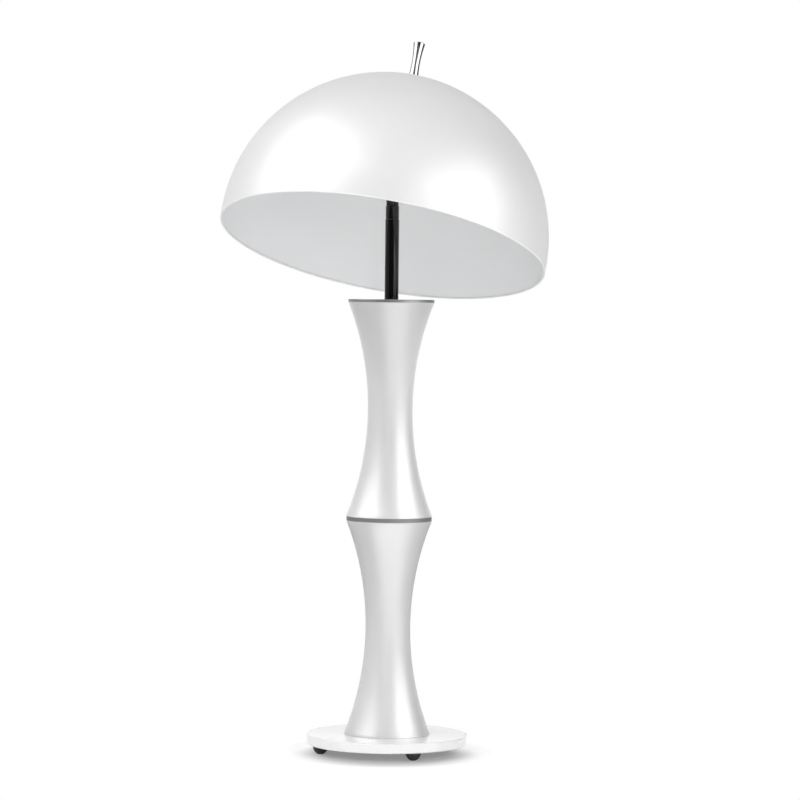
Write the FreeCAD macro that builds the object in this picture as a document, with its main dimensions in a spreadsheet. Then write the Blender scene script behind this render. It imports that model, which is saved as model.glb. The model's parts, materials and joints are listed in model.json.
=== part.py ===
import FreeCAD, Part
import math
import os
import Sketcher

# A table lamp: two waisted columns on a footed disc, and a dome shade on a swivel and a tilt knuckle.
# Z is up and the origin lies on the table under the columns. The front is -Y, the cord inlet is at +Y.

doc = FreeCAD.newDocument("table_lamp")

# Driving dimensions, in millimetres, with angles in degrees
SIZES = {
    # clearances: pieces fastened together, a pin that turns in its bore, flat faces that turn on each other
    "fit_clearance": 0.1,
    "running_clearance": 0.06,
    "running_gap": 0.1,
    # feet
    "foot_radius": 8.5,
    "foot_height": 8.5,
    "foot_flat_radius": 3.0,
    "foot_inset": 10.6,
    "stud_radius": 2.5,
    "stud_in_foot": 5.0,
    "stud_in_base": 6.0,
    # base plate and cord inlet
    "base_radius": 88.3,
    "base_web": 5.0,
    "base_edge_round": 1.2,
    "base_washer_radius": 13.0,
    "washer_thickness": 1.5,
    "nut_height": 4.0,
    "nut_wall": 3.0,
    "tie_tail": 0.5,
    "recess_margin": 9.0,
    "cord_bore_radius": 2.8,
    "cord_bush_wall": 1.0,
    "cord_bush_length": 12.0,
    "cord_bush_setback": 1.0,
    # columns, ring and cap
    "column_length": 235.3,
    "column_end_radius": 47.3,
    "column_waist_radius": 24.6,
    "column_wall": 1.6,
    "flange_thickness": 3.0,
    "spigot_radius": 17.0,
    "spigot_height": 2.4,
    "ring_thickness": 4.5,
    "ring_reveal": 0.4,
    "cap_thickness": 3.0,
    "cap_edge_round": 0.5,
    "stem_seat_depth": 1.0,
    # tie tube and stem
    "wire_bore_radius": 3.5,
    "tie_wall": 1.5,
    "stem_gap": 1.1,
    "stem_wall": 1.55,
    "stem_length": 86.5,
    "bush_flange": 1.0,
    "bush_neck": 9.0,
    "bush_thread": 10.0,
    # swivel
    "post_step": 1.6,
    "post_wall": 1.2,
    "keeper_height": 3.0,
    "keeper_room": 0.5,
    "swivel_washer_thickness": 0.8,
    "collar_step": 0.35,
    "collar_length": 14.5,
    "collar_chamfer": 0.7,
    "knurl_step": 0.6,
    "knurl_length": 5.0,
    "flute_radius": 0.5,
    "neck_land": 3.7,
    # tilt knuckle
    "ear_radius": 7.0,
    "ear_thickness": 4.1,
    "neck_gap": 1.0,
    "friction_washer_radius": 6.0,
    "friction_washer_thickness": 0.8,
    "pivot_radius": 2.5,
    "pivot_head_radius": 4.2,
    "pivot_head_height": 2.6,
    "pivot_slot_width": 1.2,
    "pivot_slot_depth": 1.1,
    "pivot_washer_radius": 5.0,
    "pivot_washer_thickness": 0.8,
    "pivot_nut_height": 3.6,
    "pivot_nut_wall": 1.8,
    "tilt_rest": 18.0,
    "swivel_rest": -8.3,
    # lamp cluster
    "head_land": 8.0,
    "cover_thickness": 2.0,
    "cover_spigot": 2.0,
    "cluster_radius": 19.0,
    "cluster_height": 34.0,
    "cluster_wall": 2.0,
    "boss_radius": 10.0,
    "boss_length": 5.0,
    # sockets and bulbs
    "nipple_bore_radius": 3.4,
    "nipple_wall": 1.6,
    "nipple_in_socket": 9.0,
    "socket_neck_wall": 4.0,
    "socket_neck_length": 4.0,
    "socket_cone_length": 9.0,
    "socket_back": 3.0,
    "socket_depth": 30.0,
    "socket_wall": 3.0,
    "screw_shell_wall": 0.6,
    "screw_shell_length": 25.0,
    "bulb_cap_radius": 13.2,
    "bulb_cap_length": 27.0,
    "bulb_cap_wall": 0.8,
    "bulb_cap_cup": 3.0,
    "bulb_cap_taper": 4.0,
    "bulb_tip_radius": 4.5,
    "bulb_tip_height": 1.6,
    "bulb_radius": 24.0,
    "bulb_glass": 1.0,
    "bulb_neck_length": 10.0,
    # turn switch
    "switch_radius": 7.0,
    "switch_depth": 9.0,
    "switch_boss_length": 3.0,
    "switch_boss_wall": 3.0,
    "switch_bush_wall": 1.9,
    "switch_nut_height": 3.0,
    "switch_nut_wall": 2.2,
    "switch_shaft_radius": 2.0,
    "switch_shaft_length": 13.0,
    "knob_radius": 6.5,
    "knob_disc": 4.0,
    "knob_grip_height": 8.0,
    "knob_grip_thickness": 3.6,
    # shade, rod and finial
    "shade_rise": 125.6,
    "shade_radius": 180.0,
    "shade_skirt": 12.0,
    "shade_wall": 1.6,
    "rim_bead_radius": 1.2,
    "rod_bore_radius": 1.6,
    "rod_wall": 1.5,
    "rod_in_knuckle": 7.0,
    "rod_in_finial": 9.0,
    "shade_washer_radius": 12.0,
    "finial_washer_thickness": 0.8,
    "finial_length": 46.4,
    "finial_end_radius": 6.6,
    "finial_waist_radius": 4.7,
    "finial_edge_round": 0.8,
    "finial_floor": 1.5,
}
FLUTES = 24
FEET = {"front_right": -45, "rear_right": 45, "rear_left": 135, "front_left": 225}

sheet = doc.addObject("Spreadsheet::Sheet", "Dims")
for row, (alias, value) in enumerate(SIZES.items(), start=1):
    sheet.set(f"A{row}", str(value))
    sheet.setAlias(f"A{row}", alias)
doc.recompute()


class Size:
    """A length or an angle: its number now, and the expression that binds a property to the sheet."""

    def __init__(self, number, text):
        self.number = number
        self.text = text

    def __add__(self, other):
        return Size(self.number + number_of(other), f"({self.text} + {text_of(other)})")

    def __sub__(self, other):
        return Size(self.number - number_of(other), f"({self.text} - {text_of(other)})")

    def __mul__(self, other):
        return Size(self.number * number_of(other), f"{self.text} * {text_of(other)}")

    def __truediv__(self, other):
        return Size(self.number / number_of(other), f"({self.text}) / ({text_of(other)})")

    def __neg__(self):
        return Size(-self.number, f"(0 - {self.text})")


class SizeNames:
    """Gives each cell of the sheet as a Size, by its alias."""

    def __getattr__(self, alias):
        return Size(SIZES[alias], f"Dims.{alias}")


dim = SizeNames()


def number_of(value):
    return value.number if isinstance(value, Size) else value


def text_of(value):
    return value.text if isinstance(value, Size) else repr(value)


def leg(hypotenuse, other_leg):
    """The second leg of a right triangle."""
    square = hypotenuse.number ** 2 - other_leg.number ** 2
    return Size(math.sqrt(square), f"sqrt(({hypotenuse.text})^2 - ({other_leg.text})^2)")


def arc_radius(rise, half_chord):
    """The radius of the arc that stands off its chord by rise in the middle."""
    return (rise * rise + half_chord * half_chord) / (rise * 2)


# Placement: each piece is moved and turned by a chain of steps, bound to the sheet
UP = "vector(0; 0; 1)"
ACROSS = "vector(1; 0; 0)"
ALONG = "vector(0; 1; 0)"


def move(x=0, y=0, z=0):
    return f"placement(vector({text_of(x)}; {text_of(y)}; {text_of(z)}); rotation({UP}; 0))"


def turn(axis, angle):
    return f"placement(vector(0; 0; 0); rotation({axis}; {text_of(angle)}))"


nodes = []


def node(piece, *steps):
    """Keeps a finished piece for export, and binds its Placement to the chain of steps."""
    piece.setExpression("Placement", " * ".join(steps))
    nodes.append(piece)
    return piece


# Sketches
def plane(body, role):
    return next(feature for feature in body.Origin.OriginFeatures if feature.Role == role)


def new_sketch(body, name, role, lift=None):
    """A sketch on one of the body's origin planes, raised along the plane's normal by lift."""
    sketch = body.newObject("Sketcher::SketchObject", name)
    sketch.AttachmentSupport = (plane(body, role), [""])
    sketch.MapMode = "FlatFace"
    if lift is not None:
        sketch.setExpression("AttachmentOffset.Base.z", text_of(lift))
    return sketch


def bind(sketch, kind, elements, size):
    """Adds a constraint of that kind whose value follows the sheet."""
    index = sketch.addConstraint(Sketcher.Constraint(kind, *elements, number_of(size)))
    sketch.setExpression(f"Constraints[{index}]", text_of(size))


def pin(sketch, edge, end, point):
    """Holds one end of an edge at its two sizes from the sketch's origin."""
    for kind, axis, size in (("DistanceX", -2, point[0]), ("DistanceY", -1, point[1])):
        if isinstance(size, Size):
            bind(sketch, kind, (-1, 1, edge, end), size)
        else:
            sketch.addConstraint(Sketcher.Constraint("PointOnObject", edge, end, axis))


def arc_edge(sketch, start, end, radius, side):
    """An arc from start to end with its centre on the left or right hand of the way along it."""
    chord = end - start
    left = FreeCAD.Vector(-chord.y, chord.x, 0).normalize()
    reach = math.sqrt(radius ** 2 - (chord.Length / 2) ** 2)
    centre = start + chord * 0.5 + left * (reach if side == "left" else -reach)
    ends = (start, end) if side == "left" else (end, start)
    angles = [math.atan2(point.y - centre.y, point.x - centre.x) for point in ends]
    circle = Part.Circle(centre, FreeCAD.Vector(0, 0, 1), radius)
    return sketch.addGeometry(Part.ArcOfCircle(circle, *angles), False)


def draw(sketch, outline):
    """Draws a closed outline. A corner is (x, y), and (x, y, radius, side) if an arc leads to it."""
    corners = [FreeCAD.Vector(number_of(c[0]), number_of(c[1]), 0) for c in outline]
    edges = []
    for index, corner in enumerate(outline):
        start = corners[index - 1]
        if len(corner) == 2:
            edge = sketch.addGeometry(Part.LineSegment(start, corners[index]), False)
            edges.append((edge, 1, 2))
        else:
            edge = arc_edge(sketch, start, corners[index], number_of(corner[2]), corner[3])
            edges.append((edge, 1, 2) if corner[3] == "left" else (edge, 2, 1))
    for index, corner in enumerate(outline):
        edge, first, last = edges[index]
        before, _, before_last = edges[index - 1]
        sketch.addConstraint(Sketcher.Constraint("Coincident", before, before_last, edge, first))
        pin(sketch, edge, last, corner)
        if len(corner) > 2:
            bind(sketch, "Radius", (edge,), corner[2])


def draw_circle(sketch, x, y, radius):
    centre = FreeCAD.Vector(number_of(x), number_of(y), 0)
    circle = Part.Circle(centre, FreeCAD.Vector(0, 0, 1), number_of(radius))
    edge = sketch.addGeometry(circle, False)
    pin(sketch, edge, 3, (x, y))
    bind(sketch, "Radius", (edge,), radius)


def box_outline(x_low, x_high, y_low, y_high):
    return [(x_low, y_low), (x_high, y_low), (x_high, y_high), (x_low, y_high)]


# Features
def turned(label, outline):
    """A body turned about its Z axis from a closed outline of (radius, height) corners."""
    body = doc.addObject("PartDesign::Body", label)
    sketch = new_sketch(body, f"{label}_outline", "XZ_Plane")
    draw(sketch, outline)
    revolution = body.newObject("PartDesign::Revolution", f"{label}_turning")
    revolution.Profile = sketch
    revolution.ReferenceAxis = (sketch, ["V_Axis"])
    revolution.Angle = 360
    sketch.Visibility = False
    return body


def ring(label, inner, outer, height):
    return turned(label, [(inner, 0), (outer, 0), (outer, height), (inner, height)])


def cut_upward(body, sketch, depth):
    """Pockets a sketch into the material on the normal's side of its plane."""
    pocket = body.newObject("PartDesign::Pocket", f"{sketch.Name}_cut")
    pocket.Profile = sketch
    pocket.Reversed = True
    pocket.setExpression("Length", text_of(depth))
    sketch.Visibility = False
    return pocket


def cut_through(body, sketch, width):
    """Pockets a sketch on a plane through the axis, half of width to each side."""
    pocket = body.newObject("PartDesign::Pocket", f"{sketch.Name}_cut")
    pocket.Profile = sketch
    pocket.SideType = "Symmetric"
    pocket.setExpression("Length", text_of(width))
    sketch.Visibility = False
    return pocket


def pattern_round(body, feature, count):
    """Repeats a feature evenly around the body's Z axis."""
    pattern = body.newObject("PartDesign::PolarPattern", f"{feature.Name}_round")
    pattern.Originals = [feature]
    pattern.Axis = (plane(body, "Z_Axis"), [""])
    pattern.Angle = 360
    pattern.Occurrences = count
    body.Tip = pattern


def cylinder(name, radius, height, *steps):
    piece = doc.addObject("Part::Cylinder", name)
    piece.setExpression("Radius", text_of(radius))
    piece.setExpression("Height", text_of(height))
    if steps:
        piece.setExpression("Placement", " * ".join(steps))
    return piece


def cut(label, base, tool):
    result = doc.addObject("Part::Cut", label)
    result.Base = base
    result.Tool = tool
    return result


def fuse(label, pieces):
    result = doc.addObject("Part::MultiFuse", label)
    result.Shapes = pieces
    return result


def hex_nut(label, bore, wall, height):
    """A nut on its Z axis whose flats stand off its bore by the wall."""
    blank = doc.addObject("Part::Prism", f"{label}_blank")
    blank.Polygon = 6
    blank.setExpression("Circumradius", text_of((bore + wall) / math.cos(math.radians(30))))
    blank.setExpression("Height", text_of(height))
    return cut(label, blank, cylinder(f"{label}_bore", bore, height))


# Sizes that several pieces share
tie_radius = dim.wire_bore_radius + dim.tie_wall
tie_hole = tie_radius + dim.fit_clearance
recess_depth = dim.washer_thickness + dim.nut_height + dim.tie_tail
recess_radius = dim.base_washer_radius + dim.recess_margin
base_thickness = recess_depth + dim.base_web
base_top = dim.foot_height + base_thickness
stud_hole = dim.stud_radius + dim.fit_clearance
cord_bush_half = dim.cord_bore_radius + dim.cord_bush_wall
cord_slot_half = cord_bush_half + dim.fit_clearance
cord_slot_depth = cord_bush_half * 2 + dim.fit_clearance
ring_bottom = base_top + dim.column_length
upper_bottom = ring_bottom + dim.ring_thickness
cap_bottom = upper_bottom + dim.column_length
cap_top = cap_bottom + dim.cap_thickness
stem_bore = tie_radius + dim.stem_gap
stem_radius = stem_bore + dim.stem_wall
stem_top = cap_top + dim.stem_length
post_radius = tie_radius - dim.post_step
post_hole = post_radius + dim.running_clearance
collar_radius = stem_radius - dim.collar_step
knurl_radius = collar_radius - dim.knurl_step
washer_bottom = stem_top + dim.bush_flange
collar_bottom = washer_bottom + dim.swivel_washer_thickness + dim.running_gap
neck_top = collar_bottom + dim.collar_length + dim.knurl_length + dim.neck_land
pivot_height = neck_top + dim.neck_gap + dim.ear_radius
ear_inside = dim.friction_washer_thickness / 2 + dim.running_gap
ear_outside = ear_inside + dim.ear_thickness
rod_radius = dim.rod_bore_radius + dim.rod_wall
rod_hole = rod_radius + dim.fit_clearance

# Frames: the swivel turns about Z at the pivot, and the head tilts about the swivel's X axis there
swivel_frame = f"{move(z=pivot_height)} * {turn(UP, dim.swivel_rest)}"
head_frame = f"{swivel_frame} * {turn(ACROSS, -dim.tilt_rest)}"


# Feet and base
def foot(label):
    """A domed rubber foot with a small flat to stand on and a pocket for its stud."""
    width = dim.foot_radius - dim.foot_flat_radius
    reach = dim.foot_height
    dome = (width * width + reach * reach) / (width * 2)
    stud_floor = dim.foot_height - dim.stud_in_foot - dim.fit_clearance
    return turned(label, [
        (0, 0),
        (dim.foot_flat_radius, 0),
        (dim.foot_radius, dim.foot_height, dome, "left"),
        (stud_hole, dim.foot_height),
        (stud_hole, stud_floor),
        (0, stud_floor),
    ])


foot_circle = dim.base_radius - dim.foot_inset
for name, angle in FEET.items():
    foot_x = foot_circle * math.cos(math.radians(angle))
    foot_y = foot_circle * math.sin(math.radians(angle))
    node(foot(f"foot_{name}"), move(foot_x, foot_y))
    stud_place = move(foot_x, foot_y, dim.foot_height - dim.stud_in_foot)
    node(cylinder(f"stud_{name}", dim.stud_radius, dim.stud_in_foot + dim.stud_in_base), stud_place)


def base_plate():
    """The base disc, recessed below for the tie tube's nut, slotted to the rear for the cord."""
    edge = dim.base_edge_round
    body = turned("base_plate", [
        (tie_hole, recess_depth),
        (recess_radius, recess_depth),
        (recess_radius, 0),
        (dim.base_radius - edge, 0),
        (dim.base_radius, edge, edge, "left"),
        (dim.base_radius, base_thickness - edge),
        (dim.base_radius - edge, base_thickness, edge, "left"),
        (tie_hole, base_thickness),
    ])
    slot = new_sketch(body, "cord_slot", "XY_Plane")
    draw(slot, box_outline(-cord_slot_half, cord_slot_half, recess_radius - cord_slot_half,
                           dim.base_radius + edge))
    cut_upward(body, slot, cord_slot_depth)
    hole = new_sketch(body, "stud_hole", "XY_Plane")
    diagonal = foot_circle * math.cos(math.radians(45))
    draw_circle(hole, diagonal, diagonal, stud_hole)
    pattern_round(body, cut_upward(body, hole, dim.stud_in_base + dim.fit_clearance), len(FEET))
    return body


node(base_plate(), move(z=dim.foot_height))


def cord_bush():
    """A square bush that fills the slot's rear end and guides the cord."""
    block = doc.addObject("Part::Box", "cord_bush_block")
    block.setExpression("Length", text_of(cord_bush_half * 2))
    block.setExpression("Width", text_of(dim.cord_bush_length))
    block.setExpression("Height", text_of(cord_bush_half * 2))
    block.setExpression("Placement", move(x=-cord_bush_half))
    bore = cylinder("cord_bush_bore", dim.cord_bore_radius, dim.cord_bush_length,
                    move(z=cord_bush_half), turn(ACROSS, -90))
    return cut("cord_bush", block, bore)


node(cord_bush(), move(y=dim.base_radius - dim.cord_bush_setback - dim.cord_bush_length, z=dim.foot_height))

node(ring("base_washer", tie_hole, dim.base_washer_radius, dim.washer_thickness),
     move(z=dim.foot_height + recess_depth - dim.washer_thickness))
node(hex_nut("base_nut", tie_hole, dim.nut_wall, dim.nut_height),
     move(z=dim.foot_height + dim.tie_tail))


# Columns, with the disc, ring and cap that centre them
def column(label):
    """A waisted shell on a circular arc, turned in at both ends to a flange with a hole."""
    half = dim.column_length / 2
    waist_rise = dim.column_end_radius - dim.column_waist_radius
    outer = arc_radius(waist_rise, half)
    inner = outer + dim.column_wall
    flange_hole = dim.spigot_radius + dim.fit_clearance
    low = dim.flange_thickness
    high = dim.column_length - dim.flange_thickness
    inner_end = dim.column_waist_radius + outer - leg(inner, half - low)
    return turned(label, [
        (flange_hole, 0),
        (dim.column_end_radius, 0),
        (dim.column_end_radius, dim.column_length, outer, "right"),
        (flange_hole, dim.column_length),
        (flange_hole, high),
        (inner_end, high),
        (inner_end, low, inner, "left"),
        (flange_hole, low),
    ])


node(ring("centring_disc", tie_hole, dim.spigot_radius, dim.spigot_height), move(z=base_top))
node(column("lower_column"), move(z=base_top))
node(column("upper_column"), move(z=upper_bottom))

ring_radius = dim.column_end_radius - dim.ring_reveal
spigot_top = dim.ring_thickness + dim.spigot_height
node(turned("joint_ring", [
    (tie_hole, -dim.spigot_height),
    (dim.spigot_radius, -dim.spigot_height),
    (dim.spigot_radius, 0),
    (ring_radius, 0),
    (ring_radius, dim.ring_thickness),
    (dim.spigot_radius, dim.ring_thickness),
    (dim.spigot_radius, spigot_top),
    (tie_hole, spigot_top),
]), move(z=ring_bottom))

stem_seat = stem_radius + dim.fit_clearance
seat_floor = dim.cap_thickness - dim.stem_seat_depth
node(turned("column_cap", [
    (tie_hole, -dim.spigot_height),
    (dim.spigot_radius, -dim.spigot_height),
    (dim.spigot_radius, 0),
    (dim.column_end_radius, 0),
    (dim.column_end_radius, dim.cap_thickness - dim.cap_edge_round),
    (dim.column_end_radius - dim.cap_edge_round, dim.cap_thickness, dim.cap_edge_round, "left"),
    (stem_seat, dim.cap_thickness),
    (stem_seat, seat_floor),
    (tie_hole, seat_floor),
]), move(z=cap_bottom))

# Tie tube, stem and the bush that screws on the tube and holds the stack together
keeper_space = dim.keeper_height + dim.keeper_room * 2
bush_depth = dim.bush_neck + keeper_space + dim.bush_thread
tie_top = stem_top - dim.bush_neck - keeper_space
node(ring("tie_tube", dim.wire_bore_radius, tie_radius, tie_top - dim.foot_height),
     move(z=dim.foot_height))
node(ring("stem_tube", stem_bore, stem_radius, dim.stem_length + dim.stem_seat_depth),
     move(z=cap_top - dim.stem_seat_depth))
bush_radius = stem_bore - dim.fit_clearance
node(turned("stem_bush", [
    (post_hole, dim.bush_flange),
    (post_hole, -dim.bush_neck),
    (tie_hole, -dim.bush_neck),
    (tie_hole, -bush_depth),
    (bush_radius, -bush_depth),
    (bush_radius, 0),
    (stem_radius, 0),
    (stem_radius, dim.bush_flange),
]), move(z=stem_top))
node(ring("swivel_washer", post_radius + dim.fit_clearance, collar_radius - dim.fit_clearance * 2,
          dim.swivel_washer_thickness), move(z=washer_bottom))


# Tilt knuckle: two turned bars, each milled to an ear beside the tilt plane
def mill_ear(body, side, bar_end, hole):
    """Mills a bar past bar_end to an ear on one side of the tilt plane, rounds it and drills it."""
    past = dim.ear_radius * 2
    far = past if bar_end.number < 0 else -past
    inside = ear_inside if side > 0 else -ear_inside
    outside = ear_outside if side > 0 else -ear_outside
    flats = new_sketch(body, f"{body.Name}_flats", "XZ_Plane")
    draw(flats, box_outline(-past if side > 0 else past, inside, bar_end, far))
    draw(flats, box_outline(past if side > 0 else -past, outside, bar_end, far))
    cut_through(body, flats, past * 2)
    tip = dim.ear_radius if bar_end.number < 0 else -dim.ear_radius
    turn_side = "right" if bar_end.number < 0 else "left"
    rounding = new_sketch(body, f"{body.Name}_end", "YZ_Plane")
    draw(rounding, [
        (-past, 0),
        (-dim.ear_radius, 0),
        (0, tip, dim.ear_radius, turn_side),
        (dim.ear_radius, 0, dim.ear_radius, turn_side),
        (past, 0),
        (past, far),
        (-past, far),
    ])
    cut_through(body, rounding, past * 2)
    pivot = new_sketch(body, f"{body.Name}_pivot", "YZ_Plane")
    draw_circle(pivot, 0, 0, hole)
    cut_through(body, pivot, past * 2)


def lower_knuckle():
    """Post, collar, knurled band and bar in one turning, with the ear left of the tilt plane."""
    bar_end = -(dim.ear_radius + dim.neck_gap)
    knurl_top = bar_end - dim.neck_land
    knurl_bottom = knurl_top - dim.knurl_length
    bottom = knurl_bottom - dim.collar_length
    under_collar = dim.running_gap + dim.swivel_washer_thickness + dim.bush_flange + dim.bush_neck
    post_tip = bottom - under_collar - dim.running_gap - dim.keeper_height
    post_bore = post_radius - dim.post_wall
    body = turned("lower_knuckle", [
        (post_bore, post_tip),
        (post_radius, post_tip),
        (post_radius, bottom),
        (collar_radius, bottom),
        (collar_radius, knurl_bottom - dim.collar_chamfer),
        (collar_radius - dim.collar_chamfer, knurl_bottom),
        (knurl_radius, knurl_bottom),
        (knurl_radius, knurl_top),
        (dim.ear_radius, knurl_top),
        (dim.ear_radius, dim.ear_radius),
        (0, dim.ear_radius),
        (0, bar_end - dim.running_gap),
        (post_bore, bar_end - dim.running_gap),
    ])
    mill_ear(body, -1, bar_end, dim.pivot_radius + dim.fit_clearance)
    flute = new_sketch(body, "knurl_flute", "XY_Plane", knurl_bottom)
    draw_circle(flute, knurl_radius + dim.flute_radius / 3, 0, dim.flute_radius)
    pattern_round(body, cut_upward(body, flute, dim.knurl_length), FLUTES)
    return body


def upper_knuckle():
    """A bar with its ear right of the tilt plane, tapped at the top for the shade rod."""
    bar_end = dim.ear_radius + dim.neck_gap
    top = bar_end + dim.head_land
    tap_floor = top - dim.rod_in_knuckle - dim.fit_clearance
    body = turned("upper_knuckle", [
        (0, -dim.ear_radius),
        (dim.ear_radius, -dim.ear_radius),
        (dim.ear_radius, top),
        (rod_hole, top),
        (rod_hole, tap_floor),
        (0, tap_floor),
    ])
    mill_ear(body, 1, bar_end, dim.pivot_radius + dim.running_clearance)
    return body


knuckle_top = dim.ear_radius + dim.neck_gap + dim.head_land
node(lower_knuckle(), swivel_frame)
node(upper_knuckle(), head_frame)
node(ring("keeper_nut", post_radius + dim.fit_clearance, tie_hole - dim.keeper_room, dim.keeper_height),
     move(z=stem_top - dim.bush_neck - dim.running_gap - dim.keeper_height))

to_right = turn(ALONG, 90)
to_left = turn(ALONG, -90)
pivot_hole = dim.pivot_radius + dim.fit_clearance
pivot_washer_at = ear_outside + dim.running_gap
pivot_nut_at = pivot_washer_at + dim.pivot_washer_thickness
screw_end = pivot_nut_at + dim.pivot_nut_height + dim.pivot_head_height / 4


def pivot_screw():
    """A cheese-head screw along its Z axis, head downwards, with a slot across the head."""
    head_edge = dim.pivot_head_height / 3
    head_face = -(ear_outside + dim.pivot_head_height)
    body = turned("pivot_screw", [
        (0, head_face),
        (dim.pivot_head_radius - head_edge, head_face),
        (dim.pivot_head_radius, head_face + head_edge, head_edge, "left"),
        (dim.pivot_head_radius, -ear_outside),
        (dim.pivot_radius, -ear_outside),
        (dim.pivot_radius, screw_end),
        (0, screw_end),
    ])
    half = dim.pivot_slot_width / 2
    slot = new_sketch(body, "pivot_slot", "XZ_Plane")
    draw(slot, box_outline(-half, half, head_face - dim.pivot_slot_depth, head_face + dim.pivot_slot_depth))
    cut_through(body, slot, dim.pivot_head_radius * 4)
    return body


node(pivot_screw(), swivel_frame, to_right)
node(ring("friction_washer", pivot_hole, dim.friction_washer_radius, dim.friction_washer_thickness),
     swivel_frame, move(x=-dim.friction_washer_thickness / 2), to_right)
node(ring("pivot_washer", pivot_hole, dim.pivot_washer_radius, dim.pivot_washer_thickness),
     swivel_frame, move(x=pivot_washer_at), to_right)
node(hex_nut("pivot_nut", pivot_hole, dim.pivot_nut_wall, dim.pivot_nut_height),
     swivel_frame, move(x=pivot_nut_at), to_right)

# Lamp cluster: a cup over its cover, with a boss to each side for a socket and one in front
cover_top = knuckle_top + dim.cover_thickness
cluster_top = cover_top + dim.cluster_height
cluster_bore = dim.cluster_radius - dim.cluster_wall
lamp_axis = cover_top + dim.cluster_height / 2
boss_face = dim.cluster_radius + dim.boss_length
nipple_radius = dim.nipple_bore_radius + dim.nipple_wall
nipple_hole = nipple_radius + dim.fit_clearance
switch_bush_radius = dim.switch_shaft_radius + dim.running_clearance + dim.switch_bush_wall
switch_hole = switch_bush_radius + dim.fit_clearance
switch_boss_face = dim.cluster_radius + dim.switch_boss_length
to_front = turn(ACROSS, 90)

spigot_wall = cluster_bore - dim.fit_clearance
node(turned("cluster_cover", [
    (rod_hole, knuckle_top),
    (dim.cluster_radius, knuckle_top),
    (dim.cluster_radius, cover_top),
    (spigot_wall, cover_top),
    (spigot_wall, cover_top + dim.cover_spigot),
    (rod_hole, cover_top + dim.cover_spigot),
]), head_frame)


def cluster_body():
    """A cup open below, bored for the rod, for the two socket nipples and for the switch."""
    cup = cylinder("cluster_cup", dim.cluster_radius, dim.cluster_height, move(z=cover_top))
    side = cylinder("cluster_side_bosses", dim.boss_radius, boss_face * 2,
                    move(x=-boss_face, z=lamp_axis), to_right)
    front = cylinder("cluster_front_boss", switch_hole + dim.switch_boss_wall, switch_boss_face,
                     move(z=lamp_axis), to_front)
    outside = fuse("cluster_outside", [cup, side, front])
    room = cylinder("cluster_room", cluster_bore, dim.cluster_height - dim.cluster_wall, move(z=cover_top))
    rod = cylinder("cluster_rod_hole", rod_hole, dim.cluster_height, move(z=cover_top))
    nipples = cylinder("cluster_nipple_holes", nipple_hole, boss_face * 2,
                       move(x=-boss_face, z=lamp_axis), to_right)
    switch = cylinder("cluster_switch_hole", switch_hole, switch_boss_face, move(z=lamp_axis), to_front)
    return cut("cluster_body", outside, fuse("cluster_inside", [room, rod, nipples, switch]))


node(cluster_body(), head_frame)

# Sockets and bulbs: each is turned about its own axis, from the boss face outward
screw_shell_bore = dim.bulb_cap_radius + dim.fit_clearance
screw_shell_radius = screw_shell_bore + dim.screw_shell_wall
socket_bore = screw_shell_radius + dim.fit_clearance
socket_radius = socket_bore + dim.socket_wall
socket_neck = nipple_hole + dim.socket_neck_wall
socket_shoulder = dim.socket_neck_length + dim.socket_cone_length
socket_floor = socket_shoulder + dim.socket_back
socket_mouth = socket_floor + dim.socket_depth
cap_foot = socket_floor + dim.fit_clearance
cap_end = cap_foot + dim.bulb_cap_length
cup_floor = cap_end - dim.bulb_cap_cup
glass_neck = dim.bulb_cap_radius - dim.bulb_cap_wall - dim.fit_clearance
glass_foot = cup_floor + dim.fit_clearance
glass_join = glass_foot + dim.bulb_neck_length
glass_inside = dim.bulb_radius - dim.bulb_glass
neck_inside = glass_neck - dim.bulb_glass
globe_centre = glass_join + leg(dim.bulb_radius, glass_neck)

for name, aim in (("left", to_left), ("right", to_right)):
    side_frame = (head_frame, move(z=lamp_axis), aim)
    nipple_back = dim.boss_length + dim.cluster_wall
    node(ring(f"{name}_nipple", dim.nipple_bore_radius, nipple_radius, nipple_back + dim.nipple_in_socket),
         *side_frame, move(z=boss_face - nipple_back))
    at_boss = (*side_frame, move(z=boss_face))
    node(turned(f"{name}_socket", [
        (nipple_hole, 0),
        (socket_neck, 0),
        (socket_neck, dim.socket_neck_length),
        (socket_radius, socket_shoulder),
        (socket_radius, socket_mouth),
        (socket_bore, socket_mouth),
        (socket_bore, socket_floor),
        (nipple_hole, socket_floor),
    ]), *at_boss)
    node(ring(f"{name}_screw_shell", screw_shell_bore, screw_shell_radius, dim.screw_shell_length),
         *at_boss, move(z=socket_floor))
    node(turned(f"{name}_bulb_cap", [
        (0, cap_foot),
        (dim.bulb_tip_radius, cap_foot),
        (dim.bulb_tip_radius, cap_foot + dim.bulb_tip_height),
        (dim.bulb_cap_radius - dim.bulb_cap_taper, cap_foot + dim.bulb_tip_height),
        (dim.bulb_cap_radius, cap_foot + dim.bulb_tip_height + dim.bulb_cap_taper),
        (dim.bulb_cap_radius, cap_end),
        (dim.bulb_cap_radius - dim.bulb_cap_wall, cap_end),
        (dim.bulb_cap_radius - dim.bulb_cap_wall, cup_floor),
        (0, cup_floor),
    ]), *at_boss)
    node(turned(f"{name}_bulb", [
        (neck_inside, glass_foot),
        (glass_neck, glass_foot),
        (glass_neck, glass_join),
        (dim.bulb_radius, globe_centre, dim.bulb_radius, "left"),
        (0, globe_centre + dim.bulb_radius, dim.bulb_radius, "left"),
        (0, globe_centre + glass_inside),
        (glass_inside, globe_centre, glass_inside, "right"),
        (neck_inside, globe_centre - leg(glass_inside, neck_inside), glass_inside, "right"),
    ]), *at_boss)

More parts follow.
